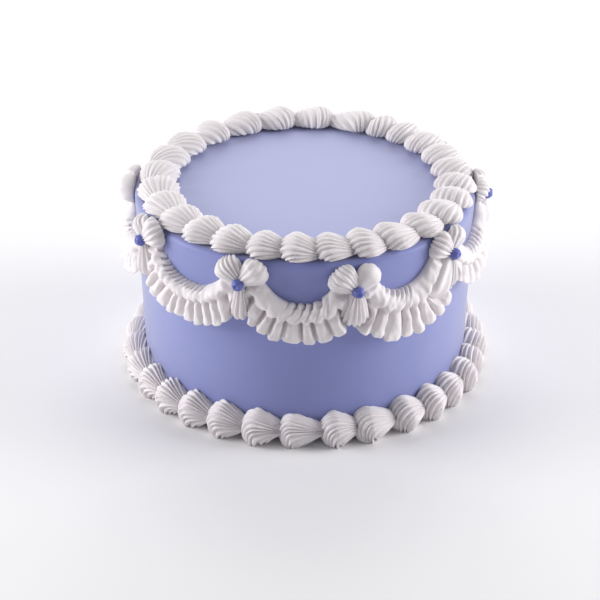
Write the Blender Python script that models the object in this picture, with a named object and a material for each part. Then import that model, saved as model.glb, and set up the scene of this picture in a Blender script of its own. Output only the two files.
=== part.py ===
"""A small round celebration cake in vintage piped style.

A smooth iced cake carries a ring of piped scallop shells on its top edge and another round its foot.
Ruffled garlands hang round the wall, and a three-petal flower with a bead of icing covers each place
where two garlands meet. Metres, +Z up, origin at the centre of the underside, front towards -Y.
Angles round the cake are measured from the front, positive towards +X.
"""
import math
import random

import bmesh
import bpy
from mathutils import Matrix, Vector

# Driving dimensions of the iced cake
CAKE_HEIGHT = 0.0922
TOP_RADIUS = 0.0800
FOOT_RADIUS = 0.0774
RIM_ROUND = 0.0030
RIM_STEPS = 2
CAKE_SIDES = 48
CLEARANCE = 0.0003

# Left edge of each shell of the top border, in degrees. The shells differ in length
TOP_SHELL_EDGES = (-59.5, -46.5, -34.2, -20.9, -9.2, 2.8, 15.1, 26.6, 41.0, 53.5, 67.0, 79.0, 92.0,
                   105.0, 118.5, 131.2, 141.8, 151.8, 169.8, 185.2, 200.0, 216.2, 231.0, 245.0, 259.0,
                   273.0, 286.5)
TOP_RING_RADIUS = 0.0696
TOP_RING_SHIFT = 0.0008
TOP_SHELL_HALF_WIDTH = 0.0094
TOP_SHELL_HEIGHT = 0.0087
TOP_SHELL_RISE = 0.0014

# Left edges at the front of the border round the foot, whose shells lean in the corner of wall and
# table. The others are even
FOOT_SHELL_EDGES = (-44.5, -33.0, -21.0, -8.7, 4.7, 15.7, 29.2, 40.2, 50.2, 61.0, 71.0, 81.0)
FOOT_SHELLS = 32
FOOT_RING_RADIUS = 0.0797
FOOT_SHELL_HALF_WIDTH = 0.0098
FOOT_SHELL_HEIGHT = 0.0172
FOOT_SHELL_RISE = 0.0072
FOOT_STEEPEST = math.radians(-76.0)

# A shell runs from its blunt head to its narrow tail. Each stage has its place along the shell, its
# share of the full size, and how far it bulges back over the tail before it
SHELL_STAGES = ((0.02, 0.42, 0.20), (0.07, 0.80, 0.20), (0.20, 0.98, 0.16), (0.43, 1.0, 0.06),
                (0.74, 0.74, 0.08))
BULGE_MIDDLE = 0.10
TAIL_SHARE = 0.42
TAIL_WIDTH_SHARE = 0.56
SIZE_SPREAD = 0.05
RIB_DEPTH = 0.12
RIB_COLUMNS = 12

# Flowers: place round the wall in degrees, and height of the bead in metres
FLOWERS = ((-58.5, 0.0850), (-19.5, 0.0836), (15.1, 0.0808), (50.5, 0.0838), (90.5, 0.0855),
           (126.0, 0.0835), (160.5, 0.0825), (195.0, 0.0840), (229.5, 0.0830), (264.0, 0.0845))
UPPER_LEAN = 52.0
LEAN_SPREAD = 4.0
UPPER_PETAL = {"reach": 0.0131, "half_width": 0.0065, "height": 0.0070}
LOWER_PETAL = {"reach": 0.0196, "half_width": 0.0048, "height": 0.0064}
NOTCH_REACH = 0.0034
NOTCH_HEIGHT = 0.0045
UPPER_SPOKES = (-35.0, -18.0, 0.0, 18.0, 37.0, 58.0)
LOWER_SPOKES = (-16.0, -10.5, -4.5, 4.5, 10.5, 16.0)
SIDE_SPOKES = (-35.0, 35.0)

# Cut through a flower from the bead outwards. On the bead: share of its radius, and of its reach. On
# a petal: share of the way to the petal's edge, and of its height
BEAD_RADIUS = 0.0026
BEAD_REACH = 0.0090
BEAD_CUT = ((0.0, 1.0), (0.9, 0.80))
PETAL_ROOT = 0.0029
PETAL_CUT = ((0.0, 0.80), (0.56, 1.0), (0.92, 0.64))
FLOWER_BACK = 0.0004
FLOWER_ROOM_DEPTHS = (0.0104, -0.0012)

# Garlands: a scalloped band over a pleated flounce, one to the right of each flower. Their widths
# across differ, as a share of the usual one
GARLAND_FULLNESS = (1.00, 0.92, 1.16, 1.04, 0.98, 1.05, 0.96, 1.02, 1.08, 0.97)
GARLAND_END_GAP = 0.0028
GARLAND_DROP = 0.0042
GARLAND_SAG = 0.0138
GARLAND_SAG_POWER = 2.6
GARLAND_FAN = 35.0
PLEATS_PER_METRE = 205.0
PLEAT_DEPTH = 0.0019
SCALLOP_DEPTH = 0.0008

# Cut across a garland. Heights are shares of the band above the crease or of the flounce below it,
# and depths are shares of the thickness
GARLAND_CORNERS = 7
GARLAND_BAND = 0.0087
GARLAND_FLOUNCE = 0.0094
GARLAND_THICKNESS = 0.0086
END_THINNING = 0.24
BAND_EDGE_DEPTH = 0.34
BAND_ROLL_HEIGHT = 0.46
BAND_ROLL_DEPTH = 0.98
CREASE_HEIGHT = 0.05
CREASE_DEPTH = 0.64
FLOUNCE_ROLL_HEIGHT = 0.34
FLOUNCE_ROLL_DEPTH = 0.96
HEM_LIFT = 0.30
HEM_BACK_HEIGHT = 0.90

SEED = 11


def wall_radius(z):
    """Radius of the leaning wall at the height z."""
    return FOOT_RADIUS + (TOP_RADIUS - FOOT_RADIUS) * z / CAKE_HEIGHT


def round_cake(angle, radius, z):
    """Point at an angle in radians from the front."""
    return Vector((radius * math.sin(angle), -radius * math.cos(angle), z))


def polygon_corner(x, y, corners):
    """Number of a corner of an even polygon, counted from the one at +Y where a new one starts."""
    return round((math.atan2(y, x) / (2.0 * math.pi) - 0.25) * corners) % corners


def make_material(name, colour, roughness):
    """One plain icing."""
    material = bpy.data.materials.new(name)
    material.use_nodes = True
    shader = material.node_tree.nodes["Principled BSDF"]
    shader.inputs["Base Color"].default_value = (*colour, 1.0)
    shader.inputs["Roughness"].default_value = roughness
    shader.inputs["Metallic"].default_value = 0.0
    material.diffuse_color = (*colour, 1.0)
    return material


def add_object(name, data, collection, material=None):
    """Turns a bmesh into a named object, with its faces pointing out."""
    bmesh.ops.recalc_face_normals(data, faces=data.faces)
    if data.calc_volume(signed=True) < 0.0:
        bmesh.ops.reverse_faces(data, faces=data.faces)
    mesh = bpy.data.meshes.new(name)
    data.to_mesh(mesh)
    data.free()
    if material:
        mesh.materials.append(material)
    item = bpy.data.objects.new(name, mesh)
    collection.objects.link(item)
    return item


def cut_back(item, cutter):
    """Takes the cutter's volume away from an object and keeps the shape that this gives."""
    difference = item.modifiers.new("fit", "BOOLEAN")
    difference.operation = "DIFFERENCE"
    difference.object = cutter
    difference.solver = "EXACT"
    bpy.context.view_layer.update()
    shaped = item.evaluated_get(bpy.context.evaluated_depsgraph_get())
    mesh = bpy.data.meshes.new_from_object(shaped)
    item.modifiers.clear()
    item.data = mesh


def keep_largest_body(item):
    """Drops loose scraps that a cut leaves beside the main body."""
    data = bmesh.new()
    data.from_mesh(item.data)
    unseen = set(data.verts)
    bodies = []
    while unseen:
        stack = [unseen.pop()]
        body = list(stack)
        while stack:
            for edge in stack.pop().link_edges:
                for vert in edge.verts:
                    if vert in unseen:
                        unseen.remove(vert)
                        stack.append(vert)
                        body.append(vert)
        bodies.append(body)
    bodies.sort(key=len)
    for body in bodies[:-1]:
        bmesh.ops.delete(data, geom=body, context="VERTS")
    data.to_mesh(item.data)
    data.free()


def set_shading(item, angle=35.0):
    """Shades the round parts smooth and keeps the creases sharp."""
    item.data.shade_smooth()
    item.data.set_sharp_from_angle(angle=math.radians(angle))


def cake_shape():
    """The iced cake as a leaning cylinder with a rounded rim."""
    data = bmesh.new()
    place = Matrix.Translation((0.0, 0.0, CAKE_HEIGHT / 2.0))
    bmesh.ops.create_cone(data, cap_ends=True, segments=CAKE_SIDES, radius1=FOOT_RADIUS,
                          radius2=TOP_RADIUS, depth=CAKE_HEIGHT, matrix=place)
    rim = [edge for edge in data.edges if min(vert.co.z for vert in edge.verts) > CAKE_HEIGHT / 2.0]
    bmesh.ops.bevel(data, geom=rim, offset=RIM_ROUND, segments=RIM_STEPS, profile=0.5, affect="EDGES",
                    material=-1)
    return data


def shell_edges(known, count):
    """Left edges of all shells: the known ones, then even steps round to the first again."""
    edges = list(known)
    missing = count - len(known)
    step = (known[0] + 360.0 - known[-1]) / (missing + 1)
    for index in range(missing):
        edges.append(known[-1] + step * (index + 1))
    return edges


def plain_ring(corners, stations):
    """A ring of even sections, to be shaped, with the station and corner of each vertex."""
    data = bmesh.new()
    upright = Matrix.Translation((1.0, 0.0, 0.0)) @ Matrix.Rotation(math.pi / 2.0, 4, "X")
    bmesh.ops.create_circle(data, segments=corners, radius=0.25, matrix=upright)
    bmesh.ops.spin(data, geom=data.verts[:] + data.edges[:], cent=(0.0, 0.0, 0.0), axis=(0.0, 0.0, 1.0),
                   steps=stations, angle=2.0 * math.pi, use_merge=True)
    places = {}
    for vert in data.verts:
        turn = math.atan2(vert.co.y, vert.co.x) / (2.0 * math.pi)
        aside = math.hypot(vert.co.x, vert.co.y) - 1.0
        places[vert] = (round(turn * stations) % stations, polygon_corner(aside, vert.co.z, corners))
    return data, places


def slimmed(half_width, share):
    """Half width of a shell where it has this share of its full height."""
    return half_width * (1.0 - (1.0 - TAIL_WIDTH_SHARE) * (1.0 - share) / (1.0 - TAIL_SHARE))


def dome_point(column, width, height, rise, first, last):
    """Point on a ribbed dome from its inner foot to its outer one, with every other column a groove."""
    roll = first + (last - first) * column / RIB_COLUMNS
    rib = 1.0 if column % 2 else 1.0 - RIB_DEPTH
    across = width * rib * math.cos(roll)
    up = rise + (height - rise) * rib * math.sin(roll)
    return across, up


def top_section(corner, share):
    """Corner of a cut through the top border: the ribbed dome, then flat underneath."""
    width = slimmed(TOP_SHELL_HALF_WIDTH, share)
    dip = math.asin(TOP_SHELL_RISE / (TOP_SHELL_HEIGHT - TOP_SHELL_RISE))
    across, up = dome_point(corner, width, TOP_SHELL_HEIGHT * share, TOP_SHELL_RISE * share,
                            math.pi + dip, -dip)
    if corner in (0, RIB_COLUMNS):
        up = 0.0
    return TOP_RING_RADIUS + across, CAKE_HEIGHT + CLEARANCE + up


def foot_section(corner, share):
    """Corner of a cut through the foot border: ribbed outside, flat on the table and on the wall."""
    if corner > RIB_COLUMNS:
        return wall_radius(0.0) + CLEARANCE, 0.0
    width = slimmed(FOOT_SHELL_HALF_WIDTH, share)
    swell = (FOOT_SHELL_HEIGHT - FOOT_SHELL_RISE) * share
    height = FOOT_SHELL_RISE + swell
    inward = FOOT_RING_RADIUS - wall_radius(height) - CLEARANCE
    first = math.pi - math.acos(min(1.0, inward / width))
    last = max(FOOT_STEEPEST, math.asin(max(-1.0, -FOOT_SHELL_RISE / swell)))
    across, up = dome_point(corner, width, height, FOOT_SHELL_RISE, first, last)
    if corner == 0:
        return wall_radius(up) + CLEARANCE, up
    if corner == RIB_COLUMNS:
        up = 0.0
    return FOOT_RING_RADIUS + across, max(up, 0.0)


def piped_border(edges, corners, section, shift, draw):
    """One ring of shells, each blunt head rising from the narrow tail before it."""
    steps = len(SHELL_STAGES)
    data, places = plain_ring(corners, steps * len(edges))
    sizes = [1.0 + draw.uniform(-SIZE_SPREAD, SIZE_SPREAD) for _ in edges]
    for vert, (station, corner) in places.items():
        index, step = divmod(station, steps)
        place, share, bulge = SHELL_STAGES[step]
        place += BULGE_MIDDLE - bulge * math.sin(math.pi * min(corner, RIB_COLUMNS) / RIB_COLUMNS)
        following = edges[index + 1] if index + 1 < len(edges) else edges[0] + 360.0
        angle = math.radians(edges[index] + (following - edges[index]) * place)
        radius, z = section(corner, share * sizes[index])
        vert.co = round_cake(angle, radius, z)
        vert.co.x += shift
    return data


def on_wall(angle, z, right, up, out):
    """Point on the wall, placed from a centre by distances to the right, upwards and outwards."""
    return round_cake(angle + right / TOP_RADIUS, wall_radius(z + up) + out, z + up)


def flower_leans(index):
    """Directions of a flower's right, lower and left petals from straight up, a little uneven."""
    draw = random.Random(SEED + index)
    uneven = [draw.uniform(-LEAN_SPREAD, LEAN_SPREAD) for _ in range(3)]
    return UPPER_LEAN + uneven[0], 180.0 + uneven[1], 360.0 - UPPER_LEAN + uneven[2]


def flower_spokes(leans):
    """Directions of the flower's ribs and grooves in radians, clockwise from straight up."""
    right, low, left = leans
    spokes = [0.5 * (right + left - 360.0)]
    spokes += [right + offset for offset in UPPER_SPOKES]
    spokes += [low + SIDE_SPOKES[0]]
    spokes += [low + offset for offset in LOWER_SPOKES]
    spokes += [low + SIDE_SPOKES[1]]
    spokes += [left - offset for offset in reversed(UPPER_SPOKES)]
    return [math.radians(spoke) for spoke in spokes]


def petal_outline(petal, offset):
    """Distance from the bead to a petal's edge, at an angle off its middle, or zero beside it."""
    half_width = petal["half_width"]
    middle = petal["reach"] - half_width
    aside = middle * math.sin(offset)
    if abs(offset) > math.pi / 2.0 or abs(aside) > half_width:
        return 0.0
    return middle * math.cos(offset) + math.sqrt(half_width ** 2 - aside ** 2)


def flower_outline(index, turn):
    """Distance from the bead to the flower's edge in a direction, and the petal's height there."""
    edge, height = NOTCH_REACH, NOTCH_HEIGHT
    for lean, petal in zip(flower_leans(index), (UPPER_PETAL, LOWER_PETAL, UPPER_PETAL)):
        offset = (turn - math.radians(lean) + math.pi) % (2.0 * math.pi) - math.pi
        distance = petal_outline(petal, offset)
        if distance > edge:
            edge, height = distance, petal["height"]
    return edge, height


def spoked_ball(spokes, rings):
    """A ball with, for each vertex, its ring counted from the front pole and its spoke."""
    data = bmesh.new()
    bmesh.ops.create_uvsphere(data, u_segments=spokes, v_segments=rings, radius=1.0)
    places = {}
    for vert in data.verts:
        ring = round(math.acos(max(-1.0, min(1.0, vert.co.z))) / math.pi * rings)
        places[vert] = (ring, polygon_corner(vert.co.x, vert.co.y, spokes))
    return data, places


def flower(index):
    """Three ribbed petals round a bead, as a ball drawn out into three lobes against the wall."""
    angle, z = math.radians(FLOWERS[index][0]), FLOWERS[index][1]
    spokes = flower_spokes(flower_leans(index))
    cut = [(BEAD_RADIUS * across, BEAD_REACH * out) for across, out in BEAD_CUT]
    data, places = spoked_ball(len(spokes), len(BEAD_CUT) + len(PETAL_CUT) + 1)
    for vert, (ring, spoke) in places.items():
        edge, height = flower_outline(index, spokes[spoke])
        rib = 1.0 if spoke % 2 else 1.0 - RIB_DEPTH
        petal = [(PETAL_ROOT + (edge - PETAL_ROOT) * way, height * out * rib) for way, out in PETAL_CUT]
        distance, out = (cut + petal + [(edge, FLOWER_BACK), (0.0, FLOWER_BACK)])[ring]
        right, up = distance * math.sin(spokes[spoke]), distance * math.cos(spokes[spoke])
        vert.co = on_wall(angle, z, right, up, out)
    return data


def flower_room(index):
    """The space that a flower and its clearance take from the garlands, with straight sides."""
    angle, z = math.radians(FLOWERS[index][0]), FLOWERS[index][1]
    spokes = flower_spokes(flower_leans(index))
    data, places = spoked_ball(len(spokes), 3)
    for vert, (ring, spoke) in places.items():
        edge = flower_outline(index, spokes[spoke])[0] + CLEARANCE if ring in (1, 2) else 0.0
        out = FLOWER_ROOM_DEPTHS[0] if ring < 2 else FLOWER_ROOM_DEPTHS[1]
        right, up = edge * math.sin(spokes[spoke]), edge * math.cos(spokes[spoke])
        vert.co = on_wall(angle, z, right, up, out)
    return data


def garland_section(share, crest, fullness):
    """Corners of a cut across the garland, as pairs of height above the crease and depth."""
    thick = GARLAND_THICKNESS * (1.0 - END_THINNING * (1.0 - math.sin(math.pi * share)))
    band = GARLAND_BAND * fullness
    flounce = GARLAND_FLOUNCE * fullness
    groove = 0.0 if crest else PLEAT_DEPTH
    scallop = 0.0 if crest else SCALLOP_DEPTH
    return ((band, CLEARANCE), (band - scallop, BAND_EDGE_DEPTH * thick),
            (BAND_ROLL_HEIGHT * band, BAND_ROLL_DEPTH * thick - scallop),
            (-CREASE_HEIGHT * flounce, CREASE_DEPTH * thick),
            (-FLOUNCE_ROLL_HEIGHT * flounce, FLOUNCE_ROLL_DEPTH * thick - groove),
            (-flounce + HEM_LIFT * groove, thick - groove), (-HEM_BACK_HEIGHT * flounce, CLEARANCE))


def garland_crease(share, start_z, end_z):
    """Height of the crease between band and flounce along the garland."""
    sag = GARLAND_DROP + GARLAND_SAG * (1.0 - abs(2.0 * share - 1.0) ** GARLAND_SAG_POWER)
    return start_z + (end_z - start_z) * share - sag


def garland(index):
    """A ruffled swag that hangs between two neighbouring flowers."""
    start, start_z = FLOWERS[index]
    end, end_z = FLOWERS[(index + 1) % len(FLOWERS)]
    if end < start:
        end += 360.0
    gap = GARLAND_END_GAP / TOP_RADIUS
    start_angle = math.radians(start) + gap
    length = (math.radians(end) - gap - start_angle) * TOP_RADIUS
    stations = 2 * round(length * PLEATS_PER_METRE)
    data = bmesh.new()
    bmesh.ops.create_cone(data, cap_ends=True, segments=GARLAND_CORNERS, radius1=1.0, radius2=1.0,
                          depth=1.0)
    lengthways = [edge for edge in data.edges if abs(edge.verts[0].co.z - edge.verts[1].co.z) > 0.5]
    bmesh.ops.subdivide_edges(data, edges=lengthways, cuts=stations - 1)
    for vert in data.verts:
        step = round((vert.co.z + 0.5) * stations)
        share = step / stations
        corner = polygon_corner(vert.co.x, vert.co.y, GARLAND_CORNERS)
        above, out = garland_section(share, step % 2 == 1, GARLAND_FULLNESS[index])[corner]
        tilt = math.radians(GARLAND_FAN) * math.cos(math.pi * share)
        z = garland_crease(share, start_z, end_z) + above * math.cos(tilt)
        right = length * share + above * math.sin(tilt)
        vert.co = round_cake(start_angle + right / TOP_RADIUS, wall_radius(z) + out, z)
    return data


def build():
    """Clears the scene and models the cake and its piping."""
    for item in list(bpy.data.objects):
        bpy.data.objects.remove(item)
    part = bpy.data.collections.new("lambeth_cake")
    bpy.context.scene.collection.children.link(part)
    cutters = bpy.data.collections.new("cutters")
    bpy.context.scene.collection.children.link(cutters)
    lilac = make_material("lilac_icing", (0.42, 0.44, 0.73), 0.50)
    white = make_material("white_icing", (0.83, 0.79, 0.78), 0.55)
    draw = random.Random(SEED)

    add_object("cake", cake_shape(), part, lilac)
    top = piped_border(TOP_SHELL_EDGES, RIB_COLUMNS + 1, top_section, TOP_RING_SHIFT, draw)
    add_object("top_border", top, part, white)
    edges = shell_edges(FOOT_SHELL_EDGES, FOOT_SHELLS)
    foot = piped_border(edges, RIB_COLUMNS + 2, foot_section, 0.0, draw)
    add_object("foot_border", foot, part, white)

    rooms = []
    for index in range(len(FLOWERS)):
        add_object("flower_%d" % (index + 1), flower(index), part, white)
        rooms.append(add_object("flower_room_%d" % (index + 1), flower_room(index), cutters))
    for index in range(len(FLOWERS)):
        item = add_object("garland_%d" % (index + 1), garland(index), part, white)
        cut_back(item, rooms[index])
        cut_back(item, rooms[(index + 1) % len(FLOWERS)])
        keep_largest_body(item)

    for item in part.objects:
        set_shading(item)
    for cutter in cutters.objects:
        cutter.hide_render = True
        cutter.display_type = "WIRE"


build()
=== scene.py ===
"""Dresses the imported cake: smooth lilac icing, ribbed shell borders, ruffled garlands and piped flowers.

Metres, +Z up, front towards -Y. Angles round the cake are measured from the front, positive towards +X.
"""

import math
import random
from dataclasses import dataclass

import bmesh
import bpy
from bpy.props import FloatProperty, FloatVectorProperty, IntProperty, PointerProperty
from mathutils import Matrix, Vector, noise


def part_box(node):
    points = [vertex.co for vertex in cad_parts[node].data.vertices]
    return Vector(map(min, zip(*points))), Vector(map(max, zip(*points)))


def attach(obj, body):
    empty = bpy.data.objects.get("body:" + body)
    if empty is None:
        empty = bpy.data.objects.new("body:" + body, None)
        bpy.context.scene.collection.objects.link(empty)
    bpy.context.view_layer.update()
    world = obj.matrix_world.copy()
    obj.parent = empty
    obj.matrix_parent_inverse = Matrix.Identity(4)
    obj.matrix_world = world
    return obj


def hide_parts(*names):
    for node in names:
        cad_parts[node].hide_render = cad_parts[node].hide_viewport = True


bl_info = {
    "name": "Piped Garland Cake",
    "version": (1, 0, 0),
    "blender": (4, 5, 0),
    "location": "3D View > Sidebar > Cake",
    "description": "Models a smooth iced cake with piped shells, garlands and flowers",
    "category": "Object",
}

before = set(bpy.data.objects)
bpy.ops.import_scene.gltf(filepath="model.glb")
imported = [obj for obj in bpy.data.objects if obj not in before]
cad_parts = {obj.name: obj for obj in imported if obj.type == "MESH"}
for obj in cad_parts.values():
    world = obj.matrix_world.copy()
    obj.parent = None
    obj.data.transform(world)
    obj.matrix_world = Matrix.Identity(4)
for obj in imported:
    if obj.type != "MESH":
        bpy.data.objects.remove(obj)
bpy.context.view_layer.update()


@dataclass
class Shell:
    """One piped shell. Its head is the blunt end where the icing swells, its tail the narrow one.

    The ribs fan out from two poles, which dip below the level at the head and at the tail. They cover the
    ball from the first rib round to the last. A taper is the share that is lost at the tail's end.
    Angles are in degrees.
    """

    head: float
    tail: float
    half_width: float
    height: float
    under: float
    ribs: int
    rib_depth: float
    first_rib: float
    last_rib: float
    yaw: float
    lean: float
    head_dip: float
    tail_dip: float
    width_taper: float
    height_taper: float
    under_taper: float = 0.0
    rise: float = 0.0
    tail_lift: float = 0.0
    hollow: float = 0.0
    columns: int = 8
    rows: int = 30


@dataclass
class Petal:
    """One petal, which leans from straight up by an angle in radians and reaches out from the bead."""

    lean: float
    reach: float
    half_width: float
    height: float
    ribs: int
    rib_depth: float
    head_share: float
    hollow: float = 0.0


@dataclass
class Swag:
    """How one garland was piped: its widths and pleats as shares of the usual ones, and its scallops.

    The scallops along the top edge show over a part of the garland's length and fade down the band.
    """

    band: float
    flounce: float
    pleat_width: float
    pleat_depth: float
    scallop_width: float
    scallops_from: float
    scallops_to: float
    scallop_fade: float


# The iced body
CAKE_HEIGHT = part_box("cake")[1][2]
TOP_RADIUS = 0.0800
FOOT_RADIUS = 0.0774
FOOT_BEVEL = 0.0006
FLAT_FOOT = 0.001
WALL_STEPS = 44
RIM_STEPS = 8
TOP_STEPS = 24
ROUND_STEPS = 192
DIP_SCALE = 24.0
TOP_DIP_SHARE = 0.5
SAME_PLACE = 1e-6
SAME_LEVEL = 1e-5

# Parts of a ring of shells, by the sine or cosine of the place round the cake
BACK_PART = (-0.25, 0.35)
FRONT_PART = (0.10, 0.60)
SIDE_PART = (0.60, 0.95)

# Left edge of each shell of the top border, in degrees
TOP_SHELL_EDGES = (-59.5, -46.5, -34.2, -20.9, -9.2, 2.8, 15.1, 26.6, 41.0, 53.5, 67.0, 79.0, 92.0,
                   105.0, 118.5, 131.2, 141.8, 151.8, 169.8, 185.2, 200.0, 216.2, 231.0, 245.0, 259.0,
                   273.0, 286.5)
TOP_RING_RADIUS = 0.0696
TOP_RING_SHIFT = 0.0008
TOP_SEED = 11
TOP_SIZE_SPREAD = 0.04
TOP_HEAD = 0.0084
TOP_HALF_WIDTH = 0.0103
TOP_SHELL_HEIGHT = 0.0087
TOP_RISE = 0.0022
TOP_HEAD_LAP = 0.0014
TOP_TAIL_LAP = 0.0080
TOP_BACK_SHORTER = 0.0034
TOP_RIBS_FROM = -38.0
TOP_RIBS_TO = 218.0
TOP_COLUMNS = 7
TOP_ROWS = 28
TOP_TAIL_DIP = 6.0
SIDE_RIB_LOSS = 0.35

# The top shells' angles and tapers at the front, with what is added at the back and on the left
TOP_YAW = (20.0, 46.0, -18.0)
TOP_LEAN = (8.0, -16.0, 0.0)
TOP_HEAD_DIP = (98.0, -10.0, 0.0)
TOP_WIDTH_TAPER = (0.42, -0.26, -0.14)
TOP_HEIGHT_TAPER = (0.50, -0.24, -0.18)
TOP_YAW_SPREAD = 8.0
TOP_LEAN_SPREAD = 9.0
TOP_DIP_SPREAD = 7.0

# How the top shells lie on the cake: pressed in a little, down over the rim, and wider at the front
TOP_PRESSED = 0.0004
RIM_SAG = 0.0012
RIM_SAG_WIDTH = 0.004
FRONT_SAG_LOSS = 0.0010
FRONT_OVERHANG = 0.12
OVERHANG_WIDTH = 0.004

# Left edges at the front of the border round the foot, in degrees. The others are even
FOOT_SHELL_EDGES = (-44.5, -33.0, -21.0, -8.7, 4.7, 15.7, 29.2, 40.2, 50.2, 61.0, 71.0, 81.0)
FOOT_SHELLS = 32
LOW_FOOT_SHELLS = {3: 0.87, 4: 0.92, 5: 0.97}
FOOT_RING_RADIUS = 0.0797
FOOT_SEED = 12
FOOT_SIZES = (0.96, 1.02)
FOOT_HEAD = 0.0078
FOOT_HALF_WIDTH = 0.0097
FOOT_SHELL_HEIGHT = 0.0094
FOOT_UNDER = 0.0108
FOOT_MIDDLE = 0.0072
FOOT_TAIL_LAP = 0.0058
FOOT_RIB_GAIN = 1.4
FOOT_RIBS_FROM = -80.0
FOOT_RIBS_TO = 140.0
FOOT_COLUMNS = 6
FOOT_YAWS = (14.0, 30.0)
FOOT_LEANS = (0.0, 20.0)
FOOT_HEAD_DIPS = (92.0, 110.0)
FOOT_TAIL_DIP = 4.0
FOOT_WIDTH_TAPER = 0.42
FOOT_HEIGHT_TAPER = 0.60
FOOT_UNDER_TAPER = 0.80
FOOT_PRESSED = 0.0004

# Marks of the star nozzle. A waver is how far a groove sways, in ribs, and how fast. Lumps and specks are
# a share of the shell's size and a scale
RIB_SHARPNESS = 1.35
RIB_TAIL_LOSS = 0.35
POLE_FADE = (0.02, 0.40)
PLAIN_RIB = 0.5
PLAIN_COLUMNS = 12
WAVER_ACROSS = (0.15, 1.7)
WAVER_ALONG = (0.12, 2.3)
SWIRLS = (-0.08, 0.12)
SHELL_LUMPS = (0.022, 2.2)
SHELL_SPECKS = (0.010, 9.0)
TAIL_LIFT_PART = (-0.25, 0.15)
HOLLOW_WIDTH = 0.48

# Flowers: place round the wall in degrees, and height of the bead
FLOWERS = ((-59.8, 0.0851), (-19.9, 0.0826), (15.7, 0.0800), (51.2, 0.0838), (91.2, 0.0868),
           (126.0, 0.0835), (160.5, 0.0825), (195.0, 0.0840), (229.5, 0.0830), (264.0, 0.0845))
LEAN_SEED = 11
UPPER_LEAN = 49.0
LEAN_SPREAD = 4.0

# Lower, right and left petals: length, width and height as shares of the usual ones, ribs and rib depth
USUAL_PETALS = ((1.00, 1.00, 1.00, 7, 0.18), (0.92, 0.92, 1.00, 6, 0.09), (0.92, 1.02, 1.00, 9, 0.18))
OWN_PETALS = {
    0: ((1.00, 1.00, 1.00, 7, 0.18), (1.10, 1.14, 1.05, 7, 0.15), (0.90, 1.04, 1.00, 8, 0.14)),
    1: ((1.00, 0.76, 1.00, 6, 0.18), (1.06, 1.02, 1.00, 5, 0.10), (1.02, 1.16, 1.00, 9, 0.18)),
    2: ((0.98, 1.14, 1.00, 8, 0.18), (1.02, 0.96, 0.95, 4, 0.05), (1.02, 1.14, 1.00, 9, 0.15)),
    3: ((0.92, 0.90, 1.00, 7, 0.16), (1.00, 0.90, 1.00, 6, 0.12), (1.00, 1.06, 1.05, 7, 0.24)),
    9: ((1.00, 1.00, 1.00, 5, 0.06), (1.06, 1.12, 1.26, 3, 0.03), (1.00, 1.00, 1.10, 3, 0.04)),
}
PETAL_SEED = 111
LOWER_PETAL_HEIGHT = 0.0084
UPPER_PETAL_HEIGHT = 0.0070
LOWER_HEAD_SHARE = 0.32
UPPER_HEAD_SHARE = 0.40
PETAL_RISE = 0.0012
PETAL_TAIL_PAST = 0.0004
PETAL_TAIL_LIFT = 0.0030
PETAL_LEAN_SPREAD = 10.0
PETAL_HEAD_DIP = 78.0
PETAL_TAIL_DIP = 4.0
PETAL_WIDTH_TAPER = 0.28
PETAL_HEIGHT_TAPER = 0.22
PETAL_PRESSED = 0.0003

# One flower has a long smooth leaf beside its lower petal
LEAF_FLOWER = 3
LEAF = Petal(lean=math.radians(210.0), reach=0.0226, half_width=0.0061, height=0.0108, ribs=3,
             rib_depth=0.03, head_share=LOWER_HEAD_SHARE, hollow=0.36)

# The mound of icing under each bead, and the bead with its dent and the lip round the dent
MOUND_RADIUS = 0.0036
MOUND_HEIGHT = 0.0058
MOUND_UNDER = 0.05
BEAD_SEED = 211
BEAD_TOP = 0.0090
BEAD_SEAT = 1.02
BEAD_LUMP = 0.08
BEAD_LUMP_SCALE = 1.9
DENT_DEPTH = 0.34
DENT_WIDTH = 0.30
DENT_UP = 0.05
DENT_SPREAD = 0.2
LIP_HEIGHT = 0.08
LIP_RADIUS = 0.52
LIP_WIDTH = 0.16

# Garlands hang from flower to flower. At their ends they turn by the fan angle, in degrees
GARLAND_SEED = 311
GARLAND_END_GAP = 0.0028
GARLAND_DROP = 0.0020
GARLAND_SAG = 0.0138
GARLAND_SAG_POWER = 2.6
GARLAND_FAN = 35.0
GARLAND_END_LENGTH = 0.010
GARLAND_END_DEPTH = 0.70
STEPS_PER_PLEAT = 18

# Cut across a garland from the top edge to the hem and back to the wall. Heights are shares of the band
# above the crease where positive, and of the flounce below it where negative. Depths are shares of the
# thickness. Then come the shares of the band's scallops and of the flounce's pleats that show there
GARLAND_CUT = (
    (0.96, -0.06, 0.9, 0.0),
    (1.03, 0.10, 1.0, 0.0),
    (0.97, 0.34, 1.0, 0.0),
    (0.72, 0.60, 0.85, 0.0),
    (0.40, 0.76, 0.55, 0.05),
    (0.12, 0.78, 0.30, 0.20),
    (-0.03, 0.72, 0.05, 0.60),
    (-0.10, 0.69, 0.0, 1.00),
    (-0.32, 0.84, 0.0, 1.10),
    (-0.64, 0.93, 0.0, 0.80),
    (-0.97, 1.00, 0.0, 0.42),
    (-1.01, 0.90, 0.0, 0.36),
    (-0.90, 0.66, 0.0, 0.3),
    (-0.80, 0.30, 0.0, 0.1),
    (-0.80, -0.06, 0.0, 0.0),
)
GARLAND_CUT_STEPS = 6

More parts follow.
